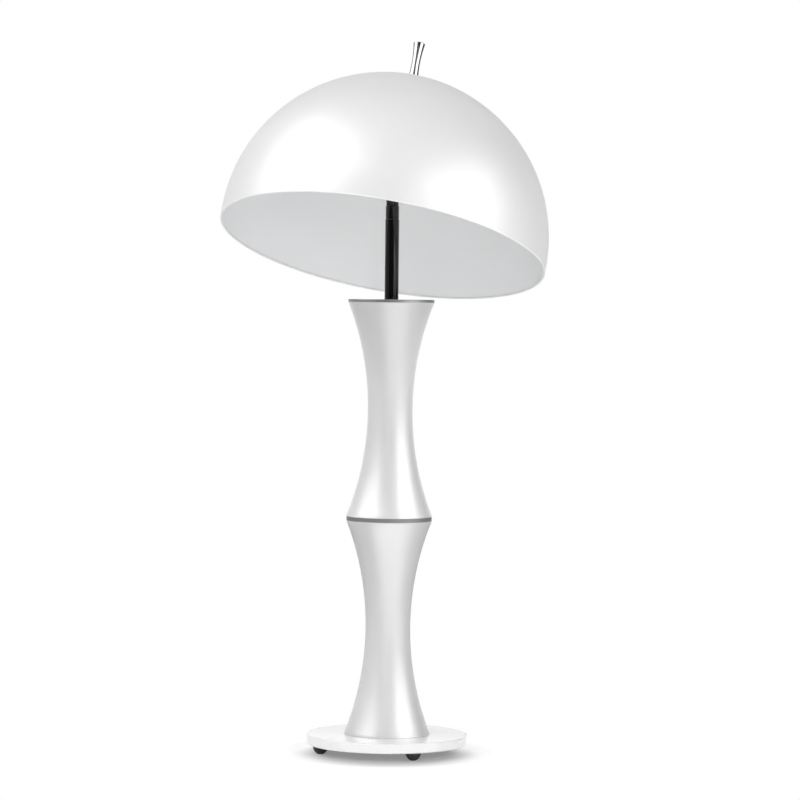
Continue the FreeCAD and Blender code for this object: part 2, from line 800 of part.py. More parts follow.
# Turn switch: its body lies against the cup's wall, and its bush comes out through the front boss
switch_frame = (head_frame, move(z=lamp_axis), to_front)
switch_front = leg(cluster_bore, dim.switch_radius) - dim.fit_clearance
switch_bush_end = switch_boss_face + dim.switch_nut_height + dim.fit_clearance
shaft_hole = dim.switch_shaft_radius + dim.running_clearance
shaft_floor = switch_bush_end - dim.switch_shaft_length
node(turned("switch_body", [
    (0, switch_front - dim.switch_depth),
    (dim.switch_radius, switch_front - dim.switch_depth),
    (dim.switch_radius, switch_front),
    (switch_bush_radius, switch_front),
    (switch_bush_radius, switch_bush_end),
    (shaft_hole, switch_bush_end),
    (shaft_hole, shaft_floor),
    (0, shaft_floor),
]), *switch_frame)
node(hex_nut("switch_nut", switch_hole, dim.switch_nut_wall, dim.switch_nut_height),
     *switch_frame, move(z=switch_boss_face))


def switch_knob():
    """A turned knob on its shaft, with a flat grip across its face."""
    back = switch_bush_end + dim.running_gap
    face = back + dim.knob_disc
    body = turned("switch_knob", [
        (0, shaft_floor + dim.running_gap),
        (dim.switch_shaft_radius, shaft_floor + dim.running_gap),
        (dim.switch_shaft_radius, back),
        (dim.knob_radius, back),
        (dim.knob_radius, face),
        (0, face),
    ])
    half = dim.knob_grip_thickness / 2
    side = leg(dim.knob_radius, half)
    grip = new_sketch(body, "knob_grip", "XY_Plane", face)
    draw(grip, [
        (side, -half),
        (side, half, dim.knob_radius, "left"),
        (-side, half),
        (-side, -half, dim.knob_radius, "left"),
    ])
    pad = body.newObject("PartDesign::Pad", "knob_grip_pad")
    pad.Profile = grip
    pad.setExpression("Length", text_of(dim.knob_grip_height))
    return body


node(switch_knob(), *switch_frame)

# Shade, with the rod that carries it and the finial that clamps it
shade_centre = dim.shade_rise - dim.shade_radius
rim = shade_centre - dim.shade_skirt
shade_inside = dim.shade_radius - dim.shade_wall
bead = dim.rim_bead_radius
bead_lip = dim.shade_radius - bead * 2
bead_top = rim + bead + leg(bead, dim.shade_wall - bead)
node(turned("shade_dome", [
    (rod_hole, shade_centre + leg(dim.shade_radius, rod_hole), dim.shade_radius, "left"),
    (rod_hole, shade_centre + leg(shade_inside, rod_hole)),
    (shade_inside, shade_centre, shade_inside, "right"),
    (shade_inside, bead_top),
    (bead_lip, rim + bead, bead, "left"),
    (dim.shade_radius - bead, rim, bead, "left"),
    (dim.shade_radius, rim + bead, bead, "left"),
    (dim.shade_radius, shade_centre),
]), head_frame)

washer_top = shade_centre + leg(shade_inside, dim.shade_washer_radius) - dim.fit_clearance
shade_nut_top = washer_top - dim.washer_thickness
finial_foot = dim.shade_rise + dim.finial_washer_thickness
rod_foot = knuckle_top - dim.rod_in_knuckle
rod_top = finial_foot + dim.rod_in_finial
node(ring("shade_rod", dim.rod_bore_radius, rod_radius, rod_top - rod_foot), head_frame, move(z=rod_foot))
node(hex_nut("rod_nut", rod_hole, dim.nut_wall, dim.nut_height), head_frame, move(z=cluster_top))
node(hex_nut("shade_nut", rod_hole, dim.nut_wall, dim.nut_height),
     head_frame, move(z=shade_nut_top - dim.nut_height))
node(ring("shade_washer", rod_hole, dim.shade_washer_radius, dim.washer_thickness),
     head_frame, move(z=shade_nut_top))
node(ring("finial_washer", rod_hole, dim.finial_end_radius, dim.finial_washer_thickness),
     head_frame, move(z=dim.shade_rise))


def finial():
    """A waisted handle, tapped below for the rod."""
    edge = dim.finial_edge_round
    shoulder = dim.finial_length - edge
    waist = arc_radius(dim.finial_end_radius - dim.finial_waist_radius, shoulder / 2)
    tap = dim.rod_in_finial + dim.finial_floor
    return turned("finial", [
        (rod_hole, 0),
        (dim.finial_end_radius, 0),
        (dim.finial_end_radius, shoulder, waist, "right"),
        (dim.finial_end_radius - edge, dim.finial_length, edge, "left"),
        (0, dim.finial_length),
        (0, tap),
        (rod_hole, tap),
    ])


node(finial(), head_frame, move(z=finial_foot))

# Check every object, then write one file per node
doc.recompute()
for item in doc.Objects:
    if "Invalid" in item.State or "Error" in item.State:
        raise RuntimeError(f"{item.Label} did not compute: {item.State}")
os.makedirs("parts", exist_ok=True)
for piece in nodes:
    if piece.Shape.isNull() or not piece.Shape.isValid():
        raise RuntimeError(f"{piece.Label} has no valid shape")
    piece.Shape.exportStep(f"parts/{piece.Label}.step")
print(f"{len(nodes)} nodes written")
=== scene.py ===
import bmesh
import bpy
import json
import math
from mathutils import Matrix, Vector


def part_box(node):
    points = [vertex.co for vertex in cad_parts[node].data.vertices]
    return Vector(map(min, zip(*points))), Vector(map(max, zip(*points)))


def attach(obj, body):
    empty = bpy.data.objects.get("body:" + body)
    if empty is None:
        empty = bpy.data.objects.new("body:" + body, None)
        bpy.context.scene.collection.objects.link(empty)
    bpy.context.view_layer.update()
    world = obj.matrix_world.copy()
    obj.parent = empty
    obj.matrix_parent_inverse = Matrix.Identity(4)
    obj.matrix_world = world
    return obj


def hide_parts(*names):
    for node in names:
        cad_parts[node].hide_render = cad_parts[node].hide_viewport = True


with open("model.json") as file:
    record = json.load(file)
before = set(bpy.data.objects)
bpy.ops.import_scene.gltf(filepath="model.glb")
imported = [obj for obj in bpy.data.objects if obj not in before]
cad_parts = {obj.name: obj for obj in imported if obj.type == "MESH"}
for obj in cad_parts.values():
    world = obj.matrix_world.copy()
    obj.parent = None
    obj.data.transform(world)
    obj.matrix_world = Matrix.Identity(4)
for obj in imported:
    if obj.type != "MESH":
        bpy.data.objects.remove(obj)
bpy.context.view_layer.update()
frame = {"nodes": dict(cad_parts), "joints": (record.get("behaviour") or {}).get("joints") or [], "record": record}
scene = bpy.context.scene
scene.view_settings.view_transform = "Standard"
print("lamp frame loaded,", len(frame["nodes"]), "nodes")

# the shade's own frame: x along the tilt pin, y away from the switch knob, z up the shade rod
joints = {joint["name"]: joint for joint in frame["joints"]}
pivotPoint = Vector(joints["shade_tilt"]["pos_m"])
tiltAxis = Vector(joints["shade_tilt"]["axis"])
knobAxis = Vector(joints["switch_turn"]["axis"])
shadeTurn = Matrix((tiltAxis, -knobAxis, knobAxis.cross(tiltAxis))).transposed()
shadeFrame = Matrix.Translation(pivotPoint) @ shadeTurn.to_4x4()
shadeAngles = shadeTurn.to_euler("XYZ")

# camera, found from the ellipses of the base, the ring and the shade's rim
cameraSpot = {"azimuth": 23.155, "distance": 3.6407, "height": 0.5014,
              "yaw": 0.167, "pitch": 1.7957, "roll": 0.635, "lens": 149.14, "sensor": 36, "reach": 200}


def aside(azimuth):
    # unit vectors towards the viewer and to the viewer's right, for a viewer at that azimuth
    turn = math.radians(azimuth)
    return Vector((math.sin(turn), -math.cos(turn), 0)), Vector((math.cos(turn), math.sin(turn), 0))


def placeCamera(spot):
    viewer, right = aside(spot["azimuth"])
    data = bpy.data.cameras.new("photoCamera")
    data.lens = spot["lens"]
    data.sensor_width = spot["sensor"]
    data.clip_end = spot["reach"]
    camera = bpy.data.objects.new("photoCamera", data)
    scene.collection.objects.link(camera)
    level = Matrix((right, Vector((0, 0, 1)), viewer)).transposed()
    aim = Matrix.Rotation(-math.radians(spot["yaw"]), 3, "Y")
    aim = aim @ Matrix.Rotation(-math.radians(spot["pitch"]), 3, "X")
    aim = aim @ Matrix.Rotation(math.radians(spot["roll"]), 3, "Z")
    place = viewer * spot["distance"] + Vector((0, 0, spot["height"]))
    camera.matrix_world = Matrix.Translation(place) @ (level @ aim).to_4x4()
    scene.camera = camera


placeCamera(cameraSpot)
print("camera placed")

# studio: two soft boxes, two fills that gloss doesn't see, a dim room, and cards that only gloss sees
softBoxes = {
    "leftBox": {"azimuth": -72, "elevation": 44, "distance": 2.6, "width": 3.0,
                "height": 2.4, "level": 2.85, "gloss": True},
    "rightBox": {"azimuth": 60, "elevation": 24, "distance": 2.7, "width": 2.9,
                 "height": 2.0, "level": 2.85, "gloss": True},
    "frontFill": {"azimuth": -6, "elevation": 10, "distance": 3.0, "width": 1.6,
                  "height": 0.7, "level": 4.94, "gloss": False},
    "rearFill": {"azimuth": 180, "elevation": 9, "distance": 3.0, "width": 2.6,
                 "height": 1.4, "level": 2.6, "gloss": False},
}
boxAim = Vector((0, 0, 0.4))
room = {"fill": 0.19, "white": 1.0}
glossCards = {
    "frontCard": {"azimuth": -10, "distance": 4.4, "width": 7.6, "height": 3.0,
                  "lift": 0.9, "flat": False, "tone": 0.06},
    "frontUpperCard": {"azimuth": -10, "distance": 4.4, "width": 7.6, "height": 3.4,
                       "lift": 4.1, "flat": False, "tone": 0.3},
    "leftCard": {"azimuth": -78, "distance": 4.6, "width": 4.8, "height": 6.0,
                 "lift": 2.6, "flat": False, "tone": 0.3},
    "rightCard": {"azimuth": 58, "distance": 4.6, "width": 4.8, "height": 6.0,
                  "lift": 2.6, "flat": False, "tone": 0.2},
    "rearRightCard": {"azimuth": 112, "distance": 4.4, "width": 4.7, "height": 6.0,
                      "lift": 2.6, "flat": False, "tone": 0.08},
    "rearLeftCard": {"azimuth": -125, "distance": 4.4, "width": 3.0, "height": 6.0,
                     "lift": 2.6, "flat": False, "tone": 0.5},
    "ceilingCard": {"azimuth": 0, "distance": 0, "width": 7.0, "height": 7.0,
                    "lift": 4.2, "flat": True, "tone": 0.35},
    "frontFloorCard": {"azimuth": 4, "distance": 0.2, "width": 0.44, "height": 0.22,
                       "lift": 0.004, "flat": True, "tone": 1.95},
    "leftFloorCard": {"azimuth": -90, "distance": 1.1, "width": 3.0, "height": 1.7,
                      "lift": 0.004, "flat": True, "tone": 0.15},
    "rightFloorCard": {"azimuth": 125, "distance": 1.1, "width": 2.4, "height": 1.7,
                       "lift": 0.004, "flat": True, "tone": 0.15},
}


def hangSoftBox(name, box):
    viewer = aside(cameraSpot["azimuth"] + box["azimuth"])[0]
    rise = math.radians(box["elevation"])
    toBox = viewer * math.cos(rise) + Vector((0, 0, math.sin(rise)))
    light = bpy.data.lights.new(name, "AREA")
    light.shape = "RECTANGLE"
    light.size = box["width"]
    light.size_y = box["height"]
    light.energy = box["level"] * math.pi * box["width"] * box["height"]
    lamp = bpy.data.objects.new(name, light)
    scene.collection.objects.link(lamp)
    lamp.location = boxAim + toBox * box["distance"]
    lamp.rotation_euler = toBox.to_track_quat("Z", "Y").to_euler()
    lamp.visible_camera = False
    lamp.visible_glossy = box["gloss"]


for name, box in softBoxes.items():
    hangSoftBox(name, box)


def grey(value, warm=0.0):
    return (value * (1 + warm), value, value * (1 - warm), 1)


def addNode(tree, kind, **values):
    node = tree.nodes.new(kind)
    for key, value in values.items():
        setattr(node, key, value)
    return node


def feed(tree, socket, value):
    # a number is set on the socket, an output is linked to it
    if isinstance(value, (int, float)):
        socket.default_value = value
    else:
        tree.links.new(value, socket)


def mathNode(tree, operation, *values):
    node = addNode(tree, "ShaderNodeMath", operation=operation)
    for socket, value in zip(node.inputs, values):
        feed(tree, socket, value)
    return node.outputs[0]


def ranged(tree, value, given, made, course="LINEAR"):
    ranger = addNode(tree, "ShaderNodeMapRange", interpolation_type=course)
    sockets = ("Value", "From Min", "From Max", "To Min", "To Max")
    for socket, number in zip(sockets, (value, *given, *made)):
        feed(tree, ranger.inputs[socket], number)
    return ranger.outputs["Result"]


def seenDirectly(tree):
    # 1 for camera, glossy and transmission rays, so that gloss shows the same white as the background
    path = addNode(tree, "ShaderNodeLightPath")
    direct = mathNode(tree, "MAXIMUM", path.outputs["Is Camera Ray"], path.outputs["Is Glossy Ray"])
    return mathNode(tree, "MAXIMUM", direct, path.outputs["Is Transmission Ray"])


def paintRoom(room):
    world = bpy.data.worlds.new("studioRoom")
    world.use_nodes = True
    tree = world.node_tree
    tree.nodes.clear()
    output = addNode(tree, "ShaderNodeOutputWorld")
    wall = addNode(tree, "ShaderNodeBackground")
    wall.inputs["Color"].default_value = (1, 1, 1, 1)
    strength = mathNode(tree, "MULTIPLY_ADD", seenDirectly(tree), room["white"] - room["fill"], room["fill"])
    tree.links.new(strength, wall.inputs["Strength"])
    tree.links.new(wall.outputs["Background"], output.inputs["Surface"])
    scene.world = world


paintRoom(room)

# the floor's glow carries a painted shadow under the base, beside the real shadow on the paper
floorSheet = {"size": 40, "tone": (0.94, 0.94, 0.94, 1), "ahead": 0.028,
              "paintedShadowFrom": 0.0645, "paintedShadowTo": 0.108, "paintedShadowTone": 0.315,
              "whiteFrom": 0.106, "whiteTo": 0.121, "nearShare": 0.755}


def paintFloor(sheet):
    material = bpy.data.materials.new("studioFloor")
    material.use_nodes = True
    tree = material.node_tree
    tree.nodes.clear()
    output = addNode(tree, "ShaderNodeOutputMaterial")
    paper = addNode(tree, "ShaderNodeBsdfDiffuse")
    paper.inputs["Color"].default_value = sheet["tone"]
    glow = addNode(tree, "ShaderNodeEmission")
    both = addNode(tree, "ShaderNodeMixShader")
    coords = addNode(tree, "ShaderNodeTexCoord")
    # painted shadow: the glow's colour darkens to grey round a spot a little ahead of the base, and the paper
    # turns white all round it
    fromPaintedShadow = addNode(tree, "ShaderNodeVectorMath", operation="DISTANCE")
    fromPaintedShadow.inputs[1].default_value = aside(cameraSpot["azimuth"])[0] * sheet["ahead"]
    tree.links.new(coords.outputs["Object"], fromPaintedShadow.inputs[0])
    soft = ranged(tree, fromPaintedShadow.outputs["Value"],
                  (sheet["paintedShadowFrom"], sheet["paintedShadowTo"]), (sheet["paintedShadowTone"], 1), "SMOOTHSTEP")
    tree.links.new(soft, glow.inputs["Color"])
    fromMiddle = addNode(tree, "ShaderNodeVectorMath", operation="LENGTH")
    tree.links.new(coords.outputs["Object"], fromMiddle.inputs[0])
    fade = ranged(tree, fromMiddle.outputs["Value"],
                  (sheet["whiteFrom"], sheet["whiteTo"]), (sheet["nearShare"], 1), "SMOOTHSTEP")
    share = mathNode(tree, "MULTIPLY", fade, seenDirectly(tree))
    tree.links.new(share, both.inputs["Fac"])
    tree.links.new(paper.outputs["BSDF"], both.inputs[1])
    tree.links.new(glow.outputs["Emission"], both.inputs[2])
    # clear from below, so that the feet and the underside can be looked at
    clear = addNode(tree, "ShaderNodeBsdfTransparent")
    sides = addNode(tree, "ShaderNodeMixShader")
    tree.links.new(addNode(tree, "ShaderNodeNewGeometry").outputs["Backfacing"], sides.inputs["Fac"])
    tree.links.new(both.outputs["Shader"], sides.inputs[1])
    tree.links.new(clear.outputs["BSDF"], sides.inputs[2])
    tree.links.new(sides.outputs["Shader"], output.inputs["Surface"])
    return material


def objectFrom(bm, name, materials):
    mesh = bpy.data.meshes.new(name)
    bm.to_mesh(mesh)
    bm.free()
    for material in materials:
        mesh.materials.append(material)
    piece = bpy.data.objects.new(name, mesh)
    scene.collection.objects.link(piece)
    return piece


def layFloor(sheet):
    bm = bmesh.new()
    bmesh.ops.create_grid(bm, x_segments=1, y_segments=1, size=sheet["size"])
    objectFrom(bm, "studioFloor", [paintFloor(sheet)])


def hangGlossCard(name, card):
    material = bpy.data.materials.new(name)
    material.use_nodes = True
    tree = material.node_tree
    tree.nodes.clear()
    output = addNode(tree, "ShaderNodeOutputMaterial")
    cloth = addNode(tree, "ShaderNodeEmission")
    cloth.inputs["Color"].default_value = grey(card["tone"])
    tree.links.new(cloth.outputs["Emission"], output.inputs["Surface"])
    viewer, right = aside(cameraSpot["azimuth"] + card["azimuth"])
    bm = bmesh.new()
    bmesh.ops.create_grid(bm, x_segments=1, y_segments=1, size=1)
    bmesh.ops.scale(bm, vec=(card["width"] / 2, card["height"] / 2, 1), verts=bm.verts)
    up = Vector((0, 0, 1))
    axes = (right, -viewer, up) if card["flat"] else (right, up, viewer)
    stand = Matrix(axes).transposed().to_4x4()
    place = Matrix.Translation(viewer * card["distance"] + up * card["lift"])
    bmesh.ops.transform(bm, matrix=place @ stand, verts=bm.verts)
    piece = objectFrom(bm, name, [material])
    piece.visible_camera = False
    piece.visible_diffuse = False
    piece.visible_shadow = False
    piece.visible_transmission = False


layFloor(floorSheet)
for name, card in glossCards.items():
    hangGlossCard(name, card)
print("studio lit")


# shared surface effects
finishInputs = {"Vector": "Vector", "Light Tone": "Color", "Deep Tone": "Color",
                "Gloss Low": "Float", "Gloss High": "Float", "Scale": "Float"}
finishOutputs = {"Colour": "Color", "Roughness": "Float", "Height": "Float"}
# the Mix node's colour sockets, which share their names with others
mixSockets = {"light": 6, "deep": 7, "made": 2}


def startGroup(name):
    group = bpy.data.node_groups.new(name, "ShaderNodeTree")
    for way, sockets in (("INPUT", finishInputs), ("OUTPUT", finishOutputs)):
        for label, kind in sockets.items():
            group.interface.new_socket(name=label, in_out=way, socket_type="NodeSocket" + kind)
    return group, addNode(group, "NodeGroupInput"), addNode(group, "NodeGroupOutput")


def noiseOn(tree, vector, scale, detail):
    noise = addNode(tree, "ShaderNodeTexNoise")
    noise.inputs["Detail"].default_value = detail
    tree.links.new(vector, noise.inputs["Vector"])
    feed(tree, noise.inputs["Scale"], scale)
    return noise.outputs["Fac"]


def closeGroup(group, given, made, tone, gloss, glossRange, height):
    # tone runs from the light to the deep colour, gloss drives the roughness, height goes to the bump
    mix = addNode(group, "ShaderNodeMix", data_type="RGBA")
    group.links.new(tone, mix.inputs["Factor"])
    group.links.new(given.outputs["Light Tone"], mix.inputs[mixSockets["light"]])
    group.links.new(given.outputs["Deep Tone"], mix.inputs[mixSockets["deep"]])
    group.links.new(mix.outputs[mixSockets["made"]], made.inputs["Colour"])
    roughness = ranged(group, gloss, glossRange, (given.outputs["Gloss Low"], given.outputs["Gloss High"]))
    group.links.new(roughness, made.inputs["Roughness"])
    group.links.new(height, made.inputs["Height"])
    return group


# sprayed lacquer: faint clouding, a fine peel, and gloss that drifts where hands wipe it
lacquerMarks = {"cloudScale": 11, "cloudDetail": 3, "cloudRange": (0.35, 0.7),
                "wipeScale": 38, "wipeDetail": 4, "wipeRange": (0.3, 0.7), "peelDetail": 2}


def lacquerSkin(marks):
    group, given, made = startGroup("lacquerSkin")
    vector = given.outputs["Vector"]
    cloud = noiseOn(group, vector, marks["cloudScale"], marks["cloudDetail"])
    tone = ranged(group, cloud, marks["cloudRange"], (0, 1))
    wiped = noiseOn(group, vector, marks["wipeScale"], marks["wipeDetail"])
    peel = noiseOn(group, vector, given.outputs["Scale"], marks["peelDetail"])
    return closeGroup(group, given, made, tone, wiped, marks["wipeRange"], peel)


# turned metal: fine lathe marks round the Z axis of the coordinates given, under a slow haze
turnedMarks = {"lineDetail": 3, "lineShare": 0.6, "hazeScale": 70, "hazeDetail": 3, "hazeShare": 0.4,
               "glossRange": (0.35, 0.65)}


def turnedLines(marks):
    group, given, made = startGroup("turnedLines")
    split = addNode(group, "ShaderNodeSeparateXYZ")
    group.links.new(given.outputs["Vector"], split.inputs[0])
    flat = addNode(group, "ShaderNodeCombineXYZ")
    group.links.new(split.outputs["X"], flat.inputs["X"])
    group.links.new(split.outputs["Y"], flat.inputs["Y"])
    reach = addNode(group, "ShaderNodeVectorMath", operation="LENGTH")
    group.links.new(flat.outputs[0], reach.inputs[0])
    along = addNode(group, "ShaderNodeCombineXYZ")
    group.links.new(reach.outputs["Value"], along.inputs["X"])
    group.links.new(split.outputs["Z"], along.inputs["Z"])
    lines = noiseOn(group, along.outputs[0], given.outputs["Scale"], marks["lineDetail"])
    haze = noiseOn(group, given.outputs["Vector"], marks["hazeScale"], marks["hazeDetail"])
    hazePart = mathNode(group, "MULTIPLY", haze, marks["hazeShare"])
    both = mathNode(group, "MULTIPLY_ADD", lines, marks["lineShare"], hazePart)
    return closeGroup(group, given, made, haze, both, marks["glossRange"], lines)


# moulded plastic and rubber: a fine spark grain with a slow drift in tone
mouldedMarks = {"driftScale": 60, "driftDetail": 3, "cellShare": 0.5,
                "grainDetail": 4, "grainShare": 0.5, "grainRange": (0.3, 0.7)}


def mouldedSkin(marks):
    group, given, made = startGroup("mouldedSkin")
    vector = given.outputs["Vector"]
    drift = noiseOn(group, vector, marks["driftScale"], marks["driftDetail"])
    cells = addNode(group, "ShaderNodeTexVoronoi")
    group.links.new(vector, cells.inputs["Vector"])
    group.links.new(given.outputs["Scale"], cells.inputs["Scale"])
    grain = noiseOn(group, vector, given.outputs["Scale"], marks["grainDetail"])
    grainPart = mathNode(group, "MULTIPLY", grain, marks["grainShare"])
    height = mathNode(group, "MULTIPLY_ADD", cells.outputs["Distance"], marks["cellShare"], grainPart)
    return closeGroup(group, given, made, drift, grain, marks["grainRange"], height)


effects = {"lacquer": lacquerSkin(lacquerMarks), "turned": turnedLines(turnedMarks),
           "moulded": mouldedSkin(mouldedMarks)}


def finish(name, effect, look, onShade=False):
    # a Principled finish fed by one effect; look holds the numbers for the effect and the shader
    material = bpy.data.materials.new(name)
    material.use_nodes = True
    tree = material.node_tree
    shader = tree.nodes["Principled BSDF"]
    coords = addNode(tree, "ShaderNodeTexCoord").outputs["Object"]
    if onShade:
        turn = addNode(tree, "ShaderNodeMapping", vector_type="TEXTURE")
        turn.inputs["Location"].default_value = pivotPoint
        turn.inputs["Rotation"].default_value = shadeAngles
        tree.links.new(coords, turn.inputs["Vector"])
        coords = turn.outputs["Vector"]
    skin = addNode(tree, "ShaderNodeGroup", node_tree=effects[effect])
    tree.links.new(coords, skin.inputs["Vector"])
    skin.inputs["Light Tone"].default_value = look["light"]
    skin.inputs["Deep Tone"].default_value = look["deep"]
    skin.inputs["Gloss Low"].default_value = look["gloss"][0]
    skin.inputs["Gloss High"].default_value = look["gloss"][1]
    skin.inputs["Scale"].default_value = look["scale"]
    bump = addNode(tree, "ShaderNodeBump")
    bump.inputs["Strength"].default_value = look["bump"][0]
    bump.inputs["Distance"].default_value = look["bump"][1]
    tree.links.new(skin.outputs["Height"], bump.inputs["Height"])
    tree.links.new(skin.outputs["Colour"], shader.inputs["Base Color"])
    tree.links.new(skin.outputs["Roughness"], shader.inputs["Roughness"])
    tree.links.new(bump.outputs["Normal"], shader.inputs["Normal"])
    for socket, value in look.get("shader", {}).items():
        shader.inputs[socket].default_value = value
    return material


# modelling helpers: a profile in the XZ plane is drawn vertex by vertex, then spun round Z
meshRules = {"mergeWithin": 1e-6, "sharpDegrees": 32}


def lineTo(bm, vert, x, z):
    made = bmesh.ops.extrude_vert_indiv(bm, verts=[vert])["verts"][0]
    made.co = (x, 0, z)
    return made


def arcTo(bm, vert, centre, degrees, steps):
    # positive degrees carry the vertex from +X towards +Z
    made = bmesh.ops.spin(bm, geom=[vert], cent=(centre[0], 0, centre[1]), axis=(0, 1, 0),
                          angle=-math.radians(degrees), steps=steps)
    return made["geom_last"][0]


def spinRound(bm, steps):
    bmesh.ops.spin(bm, geom=bm.verts[:] + bm.edges[:], cent=(0, 0, 0), axis=(0, 0, 1),
                   angle=math.tau, steps=steps, use_merge=True)
    bmesh.ops.remove_doubles(bm, verts=bm.verts, dist=meshRules["mergeWithin"])
    bmesh.ops.recalc_face_normals(bm, faces=bm.faces)


def smoothPiece(bm, name, materials, place, body, node):
    bmesh.ops.transform(bm, matrix=place, verts=bm.verts)
    for face in bm.faces:
        face.smooth = True
    piece = objectFrom(bm, name, materials)
    piece.data.set_sharp_from_angle(angle=math.radians(meshRules["sharpDegrees"]))
    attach(piece, body)
    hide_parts(node)


# columns: two waisted shells
column = {"length": 0.2353, "endRadius": 0.0473, "waistRadius": 0.0246, "wall": 0.0016, "flange": 0.003,
          "hole": 0.0171, "edgeRound": 0.00035, "roundSteps": 3, "roundProfile": 0.5,
          "arcSteps": 72, "turns": 160}
columnLacquer = {"light": grey(0.705), "deep": grey(0.69), "gloss": (0.35, 0.41), "scale": 900,
                 "bump": (0.08, 0.0003),
                 "shader": {"Metallic": 0.3, "Coat Weight": 0.1, "Coat Roughness": 0.3,
                            "Specular IOR Level": 0.35}}


def columnShell(name, node, bottom):
    half = column["length"] / 2
    rise = column["endRadius"] - column["waistRadius"]
    outer = (rise * rise + half * half) / (2 * rise)
    middle = (column["waistRadius"] + outer, half)
    sweep = math.degrees(math.asin(half / outer))
    inner = outer + column["wall"]
    innerHalf = half - column["flange"]
    innerSweep = math.degrees(math.asin(innerHalf / inner))
    innerEnd = middle[0] - math.sqrt(inner * inner - innerHalf * innerHalf)
    bm = bmesh.new()
    start = bm.verts.new((column["hole"], 0, 0))
    tip = lineTo(bm, start, column["endRadius"], 0)
    tip = arcTo(bm, tip, middle, -2 * sweep, column["arcSteps"])
    tip = lineTo(bm, tip, column["hole"], column["length"])
    tip = lineTo(bm, tip, column["hole"], column["length"] - column["flange"])
    tip = lineTo(bm, tip, innerEnd, column["length"] - column["flange"])
    tip = arcTo(bm, tip, middle, 2 * innerSweep, column["arcSteps"])
    tip = lineTo(bm, tip, column["hole"], column["flange"])
    bm.edges.new((tip, start))
    corners = [vert for vert in bm.verts if vert.co.x > column["endRadius"] - meshRules["mergeWithin"]]
    bmesh.ops.bevel(bm, geom=corners, offset=column["edgeRound"], segments=column["roundSteps"],
                    profile=column["roundProfile"], affect="VERTICES", material=-1)
    spinRound(bm, column["turns"])
    smoothPiece(bm, name, [columnPaint], Matrix.Translation((0, 0, bottom)), "stand", node)


columnPaint = finish("columnLacquer", "lacquer", columnLacquer)
columnShell("lowerColumn", "lower_column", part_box("lower_column")[0].z)
columnShell("upperColumn", "upper_column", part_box("upper_column")[0].z)
print("columns spun")

# shade: a spun dome with a rolled bead, pearl outside and plain white inside; the bead wears a lighter copy of the
# lacquer as a painted highlight along the rim
shade = {"radius": 0.18, "rise": 0.1256, "skirt": 0.012, "wall": 0.0016, "bead": 0.0012, "rodHole": 0.0032,
         "insideShare": 0.3, "arcSteps": 64, "beadSteps": 18, "turns": 200}
shadeFaces = {"inside": 1, "bead": 2}
shadeLacquer = {"light": grey(0.755), "deep": grey(0.74), "gloss": (0.36, 0.42), "scale": 700,
                "bump": (0.06, 0.0003),
                "shader": {"Metallic": 0.2, "Specular IOR Level": 0.08, "Specular Tint": grey(0.05)}}
shadeInside = {"light": (0.93, 0.935, 0.94, 1), "deep": (0.915, 0.921, 0.927, 1), "gloss": (0.5, 0.58),
               "scale": 420, "bump": (0.1, 0.0003), "shader": {"Specular IOR Level": 0.35}}
# painted highlight: a lighter, non-metallic copy of the shade's lacquer, so the rolled bead shows as a bright lip
beadPaintedHighlight = {"light": grey(0.80), "deep": grey(0.785), "gloss": (0.4, 0.48), "scale": 700,
             "bump": (0.06, 0.0003), "shader": {"Specular IOR Level": 0.35}}


def shadeShell():
    outer = shade["radius"]
    inner = outer - shade["wall"]
    bead = shade["bead"]
    centre = (0, shade["rise"] - outer)
    rim = centre[1] - shade["skirt"]
    outerStart = math.degrees(math.acos(shade["rodHole"] / outer))
    innerEnd = math.degrees(math.acos(shade["rodHole"] / inner))
    beadLift = math.sqrt(bead * bead - (shade["wall"] - bead) ** 2)
    beadEnd = math.degrees(math.atan2(beadLift, bead - shade["wall"]))
    bm = bmesh.new()
    start = bm.verts.new((shade["rodHole"], 0, centre[1] + math.sqrt(outer * outer - shade["rodHole"] ** 2)))
    tip = arcTo(bm, start, centre, -outerStart, shade["arcSteps"])
    tip = lineTo(bm, tip, outer, rim + bead)
    tip = arcTo(bm, tip, (outer - bead, rim + bead), -(360 - beadEnd), shade["beadSteps"])
    tip = lineTo(bm, tip, inner, centre[1])
    tip = arcTo(bm, tip, centre, innerEnd, shade["arcSteps"])
    bm.edges.new((tip, start))
    spinRound(bm, shade["turns"])
    middle = Vector((0, 0, centre[1]))
    for face in bm.faces:
        spot = face.calc_center_median()
        reach = (spot - middle).length if spot.z > centre[1] else Vector((spot.x, spot.y, 0)).length
        # the bead's faces take the painted highlight finish
        if spot.z < rim + bead * 2:
            face.material_index = shadeFaces["bead"]
        elif reach < inner + shade["wall"] * shade["insideShare"]:
            face.material_index = shadeFaces["inside"]
    paints = [finish("shadeLacquer", "lacquer", shadeLacquer, True),
              finish("shadeInside", "lacquer", shadeInside, True),
              finish("beadPaintedHighlight", "lacquer", beadPaintedHighlight, True)]
    smoothPiece(bm, "shadeShell", paints, shadeFrame, "head", "shade_dome")


shadeShell()
print("shade spun")

